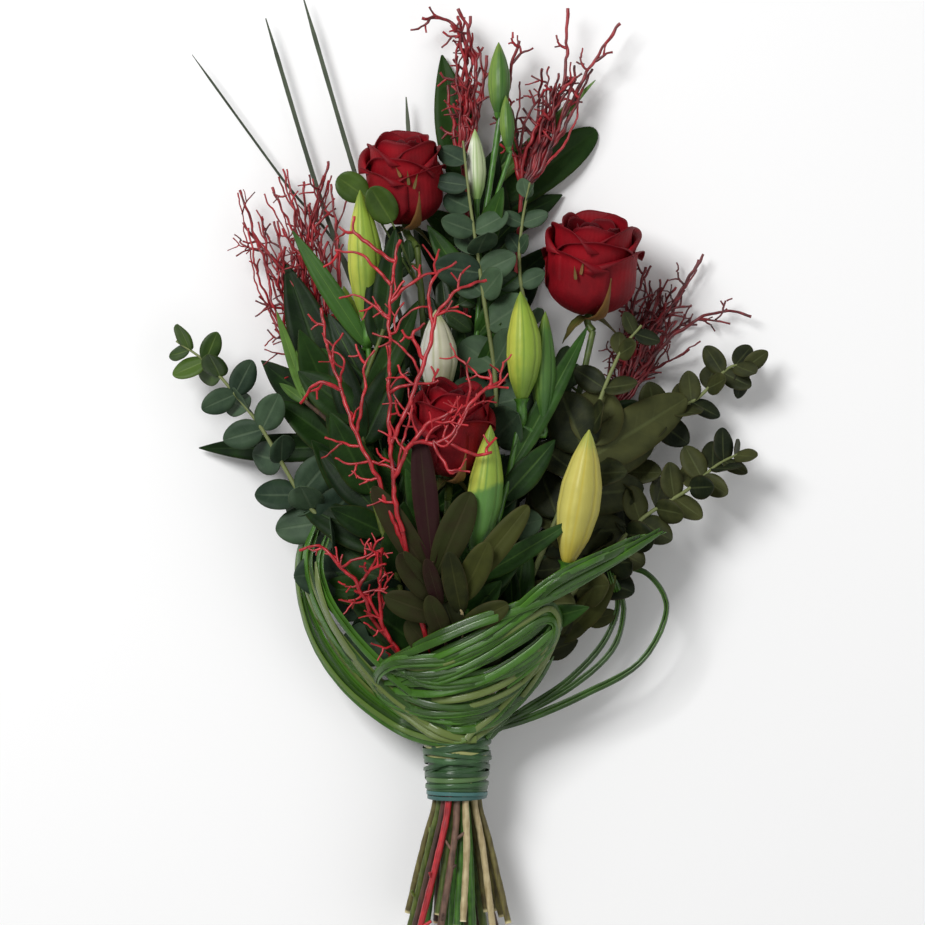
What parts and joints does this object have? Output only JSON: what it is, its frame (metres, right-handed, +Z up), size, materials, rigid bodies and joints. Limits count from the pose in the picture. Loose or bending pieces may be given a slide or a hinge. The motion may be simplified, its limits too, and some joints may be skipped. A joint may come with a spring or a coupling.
{
  "type": "mixed flower bouquet",
  "caption": "Hand-tied mixed bouquet of red roses, closed lily buds, eucalyptus, dark leaves, red twigs and looped grass, bound at the neck and lying down.",
  "frame": {"origin": "on the surface that the bouquet lies on, under the middle of its length and width", "axes": "+Y from the cut stems along the bouquet to the tips, +Z up from the surface through the blooms, +X across the bouquet"},
  "size_m": [0.4786, 0.7792, 0.1632],
  "materials": {
    "leaf_dark": "smooth dark green leaves, satin",
    "grass_upright": "grey-green grass, matt",
    "twig_red": "red painted twigs, satin",
    "twig_dark": "dark maroon painted twigs, satin",
    "gum_blue": "blue-green round leaves with a waxy bloom, matt",
    "gum_olive": "olive round leaves, matt",
    "rose_red": "deep red velvety petals",
    "rose_stem": "green-brown stem, leaves and sepals, satin",
    "lily_stem": "green stem and leaves, satin",
    "bud_white": "white-green bud, satin",
    "bud_cream": "cream bud, satin",
    "bud_lime": "lime green bud, satin",
    "bud_green": "green bud, satin",
    "bud_yellow": "pale yellow bud, satin",
    "leaf_maroon": "dark maroon leathery leaves, satin",
    "leaf_olive": "olive leathery leaves, satin",
    "grass_green": "glossy green grass blades",
    "grass_wound": "wound green grass blades, satin",
    "tape": "blue-green tie, matt"
  },
  "bodies": {
    "root": {"upright_grass": "grass_upright", "top_leaves": "leaf_dark", "coral_twigs_right": "twig_dark", "coral_twigs_left": "twig_red", "coral_twigs_top": "twig_dark", "coral_twigs_top_right": "twig_red", "eucalyptus_right_upper": "gum_olive", "left_leaves": "leaf_dark", "rose_top_stem": "rose_stem", "rose_top_bloom": "rose_red", "lily_top_stem": "lily_stem", "lily_top_bud_white": "bud_white", "lily_top_bud_green": "bud_green", "lily_top_bud_small": "bud_green", "rose_right_stem": "rose_stem", "rose_right_bloom": "rose_red", "eucalyptus_right_lower": "gum_olive", "eucalyptus_left": "gum_blue", "lily_left_stem": "lily_stem", "lily_left_bud": "bud_lime", "lily_left_bud_small": "bud_lime", "lily_cream_stem": "lily_stem", "lily_cream_bud": "bud_cream", "eucalyptus_top": "gum_blue", "eucalyptus_inner": "gum_blue", "eucalyptus_round": "gum_olive", "dark_leaves": "leaf_dark", "lily_centre_stem": "lily_stem", "lily_centre_bud": "bud_lime", "lily_centre_bud_dark": "bud_green", "lily_pale_stem": "lily_stem", "lily_pale_bud": "bud_yellow", "right_leaves": "leaf_olive", "coral_twigs_low": "twig_red", "rose_front_stem": "rose_stem", "rose_front_bloom": "rose_red", "lily_front_stem": "lily_stem", "lily_front_bud": "bud_lime", "coral_twigs_front": "twig_red", "leucadendron_maroon": "leaf_maroon", "leucadendron_olive": "leaf_olive", "grass_collar": "grass_green", "grass_loops_right": "grass_green", "neck_binding": "grass_wound", "neck_tie": "tape"}
  },
  "joints": []
}
